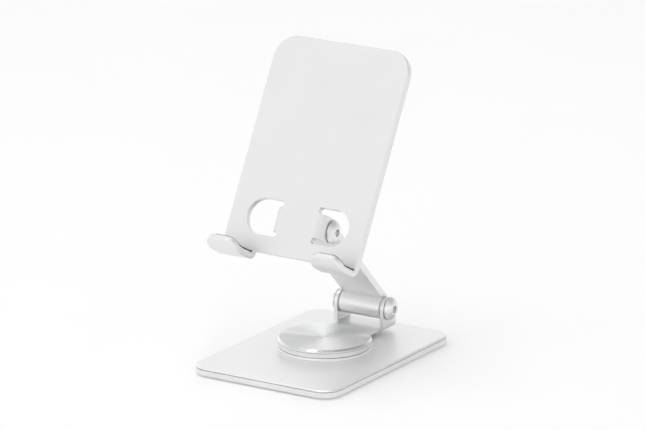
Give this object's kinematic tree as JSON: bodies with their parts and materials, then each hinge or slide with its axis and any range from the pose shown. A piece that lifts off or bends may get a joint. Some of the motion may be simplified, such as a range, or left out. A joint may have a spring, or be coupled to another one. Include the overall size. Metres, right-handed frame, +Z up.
{
  "type": "phone stand",
  "caption": "Folding desk stand for a phone: a flat weighted base with a turntable, a hinged arm and a tilting tray with padded hooks.",
  "frame": {"origin": "centre of the base on the surface that the stand rests on", "axes": "+X to the right of a person facing the tray, +Y to the back, +Z up"},
  "size_m": [0.08, 0.112, 0.152],
  "materials": {
    "anodised_aluminium": "fine bead-blasted, silver anodised",
    "turned_aluminium": "lathe-turned face with a polished chamfer",
    "weight_steel": "satin plated to match the aluminium",
    "fastener_steel": "satin nickel plate",
    "bush_plastic": "moulded acetal",
    "silicone": "matt moulded silicone",
    "tape": "foam adhesive tape"
  },
  "bodies": {
    "base": {"foot_pad": "silicone", "weight_plate": "weight_steel", "plate_tape": "tape", "cover_plate": "anodised_aluminium", "turntable_ring": "anodised_aluminium", "ring_screws": "fastener_steel", "glide_washer": "bush_plastic", "pivot_bolt": "fastener_steel", "pivot_nut": "fastener_steel"},
    "swivel": {"swivel_bracket": "anodised_aluminium", "pivot_spring": "fastener_steel", "cap_tape": "tape", "turntable_cap": "turned_aluminium", "lower_hinge_screw": "fastener_steel", "lower_hinge_sleeve": "fastener_steel", "lower_spring_washer_left": "fastener_steel", "lower_spring_washer_right": "fastener_steel"},
    "arm": {"arm": "anodised_aluminium", "lower_bush_left": "bush_plastic", "lower_bush_right": "bush_plastic", "upper_bush_left": "bush_plastic", "upper_bush_right": "bush_plastic"},
    "tray": {"tray": "anodised_aluminium", "hook_pad_left": "silicone", "hook_pad_right": "silicone", "upper_hinge_screw": "fastener_steel", "upper_hinge_sleeve": "fastener_steel", "upper_spring_washer_left": "fastener_steel", "upper_spring_washer_right": "fastener_steel"}
  },
  "joints": [
    {"name": "turntable", "type": "hinge", "parent": "base", "child": "swivel", "pos_m": [0, 0.0022, 0.0066], "axis": [0, 0, 1], "continuous": true},
    {"name": "arm_hinge", "type": "hinge", "parent": "swivel", "child": "arm", "pos_m": [0, 0.0388, 0.01725], "axis": [1, 0, 0], "range_deg": [-15, 30]},
    {"name": "tray_hinge", "type": "hinge", "parent": "arm", "child": "tray", "pos_m": [0, -0.01268, 0.06873], "axis": [-1, 0, 0], "range_deg": [-30, 106]}
  ]
}
